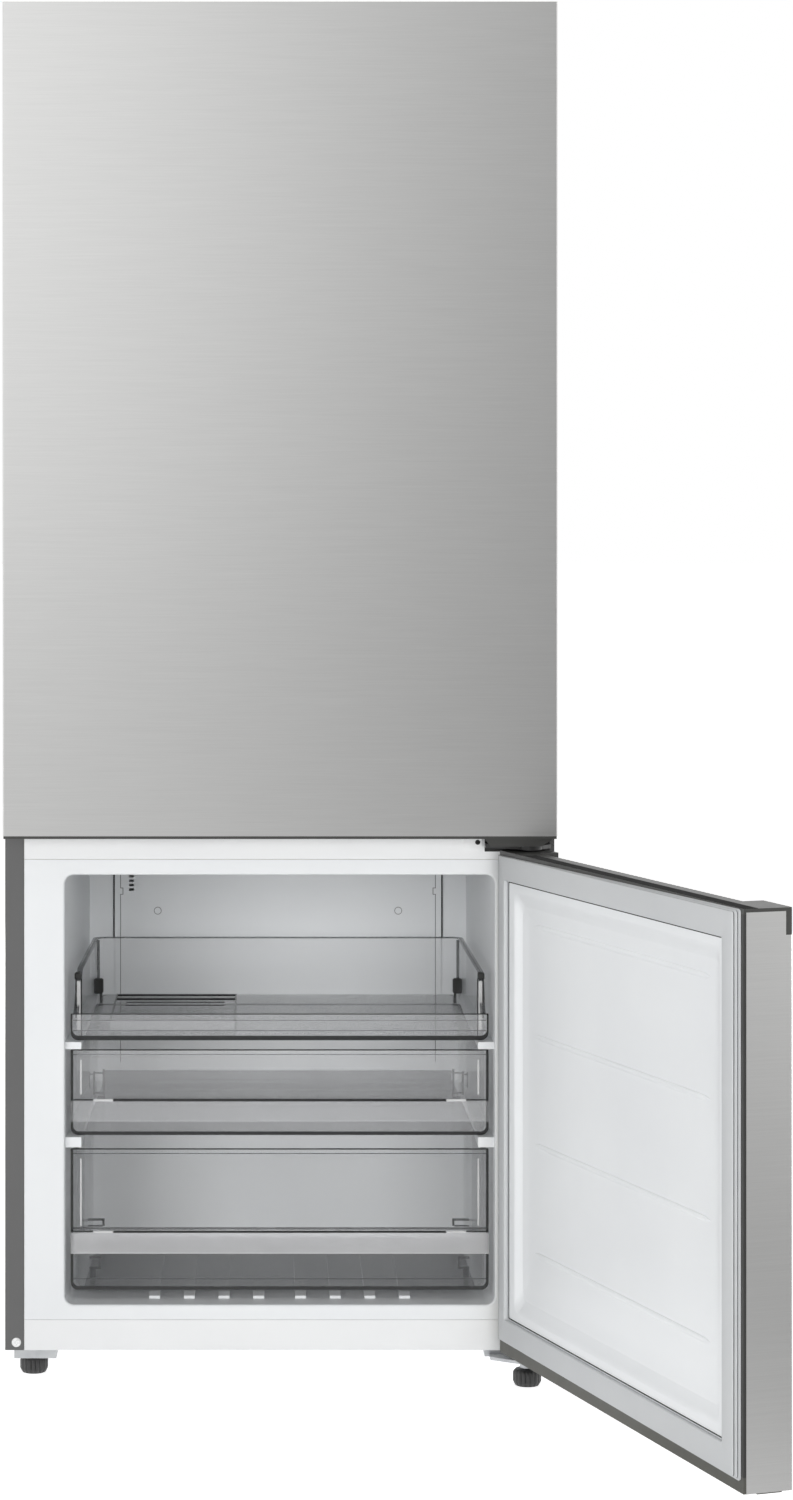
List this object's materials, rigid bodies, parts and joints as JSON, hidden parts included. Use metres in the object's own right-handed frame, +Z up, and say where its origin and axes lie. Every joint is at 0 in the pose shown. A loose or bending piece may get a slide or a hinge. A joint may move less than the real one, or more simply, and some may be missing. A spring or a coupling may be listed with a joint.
{
  "type": "bottom freezer refrigerator",
  "caption": "Tall bottom freezer refrigerator in brushed steel, its lower door standing open over clear sliding freezer drawers.",
  "frame": {"origin": "on the floor, under the middle of the whole object's box as it stands with its freezer door open", "axes": "+Z up, -Y out of the cabinet's front towards the user, +X to the right, the hinge side of both doors"},
  "size_m": [0.9069, 1.3192, 1.758],
  "materials": {
    "case_paint": "satin",
    "galvanised": "matte",
    "stainless": "satin",
    "white_liner": "satin",
    "white_paint": "satin",
    "foam": "matte",
    "grey_gasket": "matte",
    "dark_plastic": "satin",
    "olive_plastic": "satin",
    "black_steel": "satin",
    "zinc_steel": "satin",
    "smoky_clear": "gloss",
    "clear_plastic": "gloss",
    "glass_shelf": "gloss",
    "aluminium": "satin",
    "black_enamel": "satin",
    "black_rubber": "matte",
    "copper_coat": "satin"
  },
  "bodies": {
    "cabinet": {"air_duct": "white_liner", "back_plate": "galvanised", "base_cover": "white_paint", "base_plate": "galvanised", "cabinet_insulation": "foam", "compressor": "black_enamel", "compressor_mounts": "black_rubber", "condenser": "copper_coat", "condenser_fan_motor": "black_enamel", "cord_gland": "black_rubber", "cover_screws": "white_paint", "crisper_cover": "glass_shelf", "crisper_drawer": "clear_plastic", "defrost_heater": "aluminium", "drain_pan": "dark_plastic", "evaporator": "aluminium", "evaporator_cover": "white_liner", "evaporator_fan_motor": "black_enamel", "foot_bracket": "zinc_steel", "freezer_liner": "white_liner", "fridge_liner": "white_liner", "glass_shelf_lower": "glass_shelf", "glass_shelf_upper": "glass_shelf", "hinge_screws": "zinc_steel", "left_side_panel": "case_paint", "lower_hinge": "zinc_steel", "machine_cover": "galvanised", "machine_room_hood": "galvanised", "middle_hinge": "black_steel", "middle_rail": "white_paint", "right_side_panel": "case_paint", "roller_brackets": "zinc_steel", "top_hinge": "zinc_steel", "top_hinge_cover": "dark_plastic", "top_panel": "case_paint"},
    "upper_door": {"door_bin_lower": "clear_plastic", "door_bin_upper": "clear_plastic", "upper_door_bottom_cap": "dark_plastic", "upper_door_gasket": "grey_gasket", "upper_door_insulation": "foam", "upper_door_liner": "white_liner", "upper_door_skin": "stainless", "upper_door_top_cap": "dark_plastic"},
    "freezer_door": {"freezer_door_bottom_cap": "olive_plastic", "freezer_door_frame": "dark_plastic", "freezer_door_gasket": "grey_gasket", "freezer_door_insulation": "foam", "freezer_door_liner": "white_liner", "freezer_door_skin": "stainless", "freezer_door_top_cap": "dark_plastic"},
    "top_tray": {"top_tray": "smoky_clear", "ice_tray": "smoky_clear"},
    "middle_drawer": {"middle_drawer": "smoky_clear"},
    "bottom_drawer": {"bottom_drawer": "smoky_clear"},
    "foot_left": {"foot_left": "black_rubber"},
    "foot_right": {"foot_right": "black_rubber"},
    "roller_left": {"roller_left": "dark_plastic"},
    "roller_right": {"roller_right": "dark_plastic"},
    "evaporator_fan": {"evaporator_fan": "dark_plastic"},
    "condenser_fan": {"condenser_fan": "dark_plastic"}
  },
  "joints": [
    {"name": "upper_door_hinge", "type": "hinge", "parent": "cabinet", "child": "upper_door", "pos_m": [0.21548, -0.01661, 0], "axis": [0, 0, 1], "range_deg": [0, 115]},
    {"name": "freezer_door_hinge", "type": "hinge", "parent": "cabinet", "child": "freezer_door", "pos_m": [0.21548, -0.01661, 0], "axis": [0, 0, 1], "range_deg": [-108.8, 6.2]},
    {"name": "top_tray_slide", "type": "slide", "parent": "cabinet", "child": "top_tray", "axis": [0, -1, 0], "range_m": [0, 0.32]},
    {"name": "middle_drawer_slide", "type": "slide", "parent": "cabinet", "child": "middle_drawer", "axis": [0, -1, 0], "range_m": [0, 0.32]},
    {"name": "bottom_drawer_slide", "type": "slide", "parent": "cabinet", "child": "bottom_drawer", "axis": [0, -1, 0], "range_m": [0, 0.25]},
    {"name": "foot_left_turn", "type": "hinge", "parent": "cabinet", "child": "foot_left", "pos_m": [-0.41842, 0.05309, 0], "axis": [0, 0, 1], "continuous": true},
    {"name": "foot_right_turn", "type": "hinge", "parent": "cabinet", "child": "foot_right", "pos_m": [0.21078, -0.01661, 0], "axis": [0, 0, 1], "continuous": true},
    {"name": "roller_left_spin", "type": "hinge", "parent": "cabinet", "child": "roller_left", "pos_m": [-0.40242, 0.59909, 0.015], "axis": [1, 0, 0], "continuous": true},
    {"name": "roller_right_spin", "type": "hinge", "parent": "cabinet", "child": "roller_right", "pos_m": [0.19758, 0.59909, 0.015], "axis": [1, 0, 0], "continuous": true},
    {"name": "evaporator_fan_spin", "type": "hinge", "parent": "cabinet", "child": "evaporator_fan", "pos_m": [-0.10242, 0.51509, 0.562], "axis": [0, 1, 0], "continuous": true},
    {"name": "condenser_fan_spin", "type": "hinge", "parent": "cabinet", "child": "condenser_fan", "pos_m": [-0.16442, 0.54909, 0.15], "axis": [1, 0, 0], "continuous": true}
  ]
}
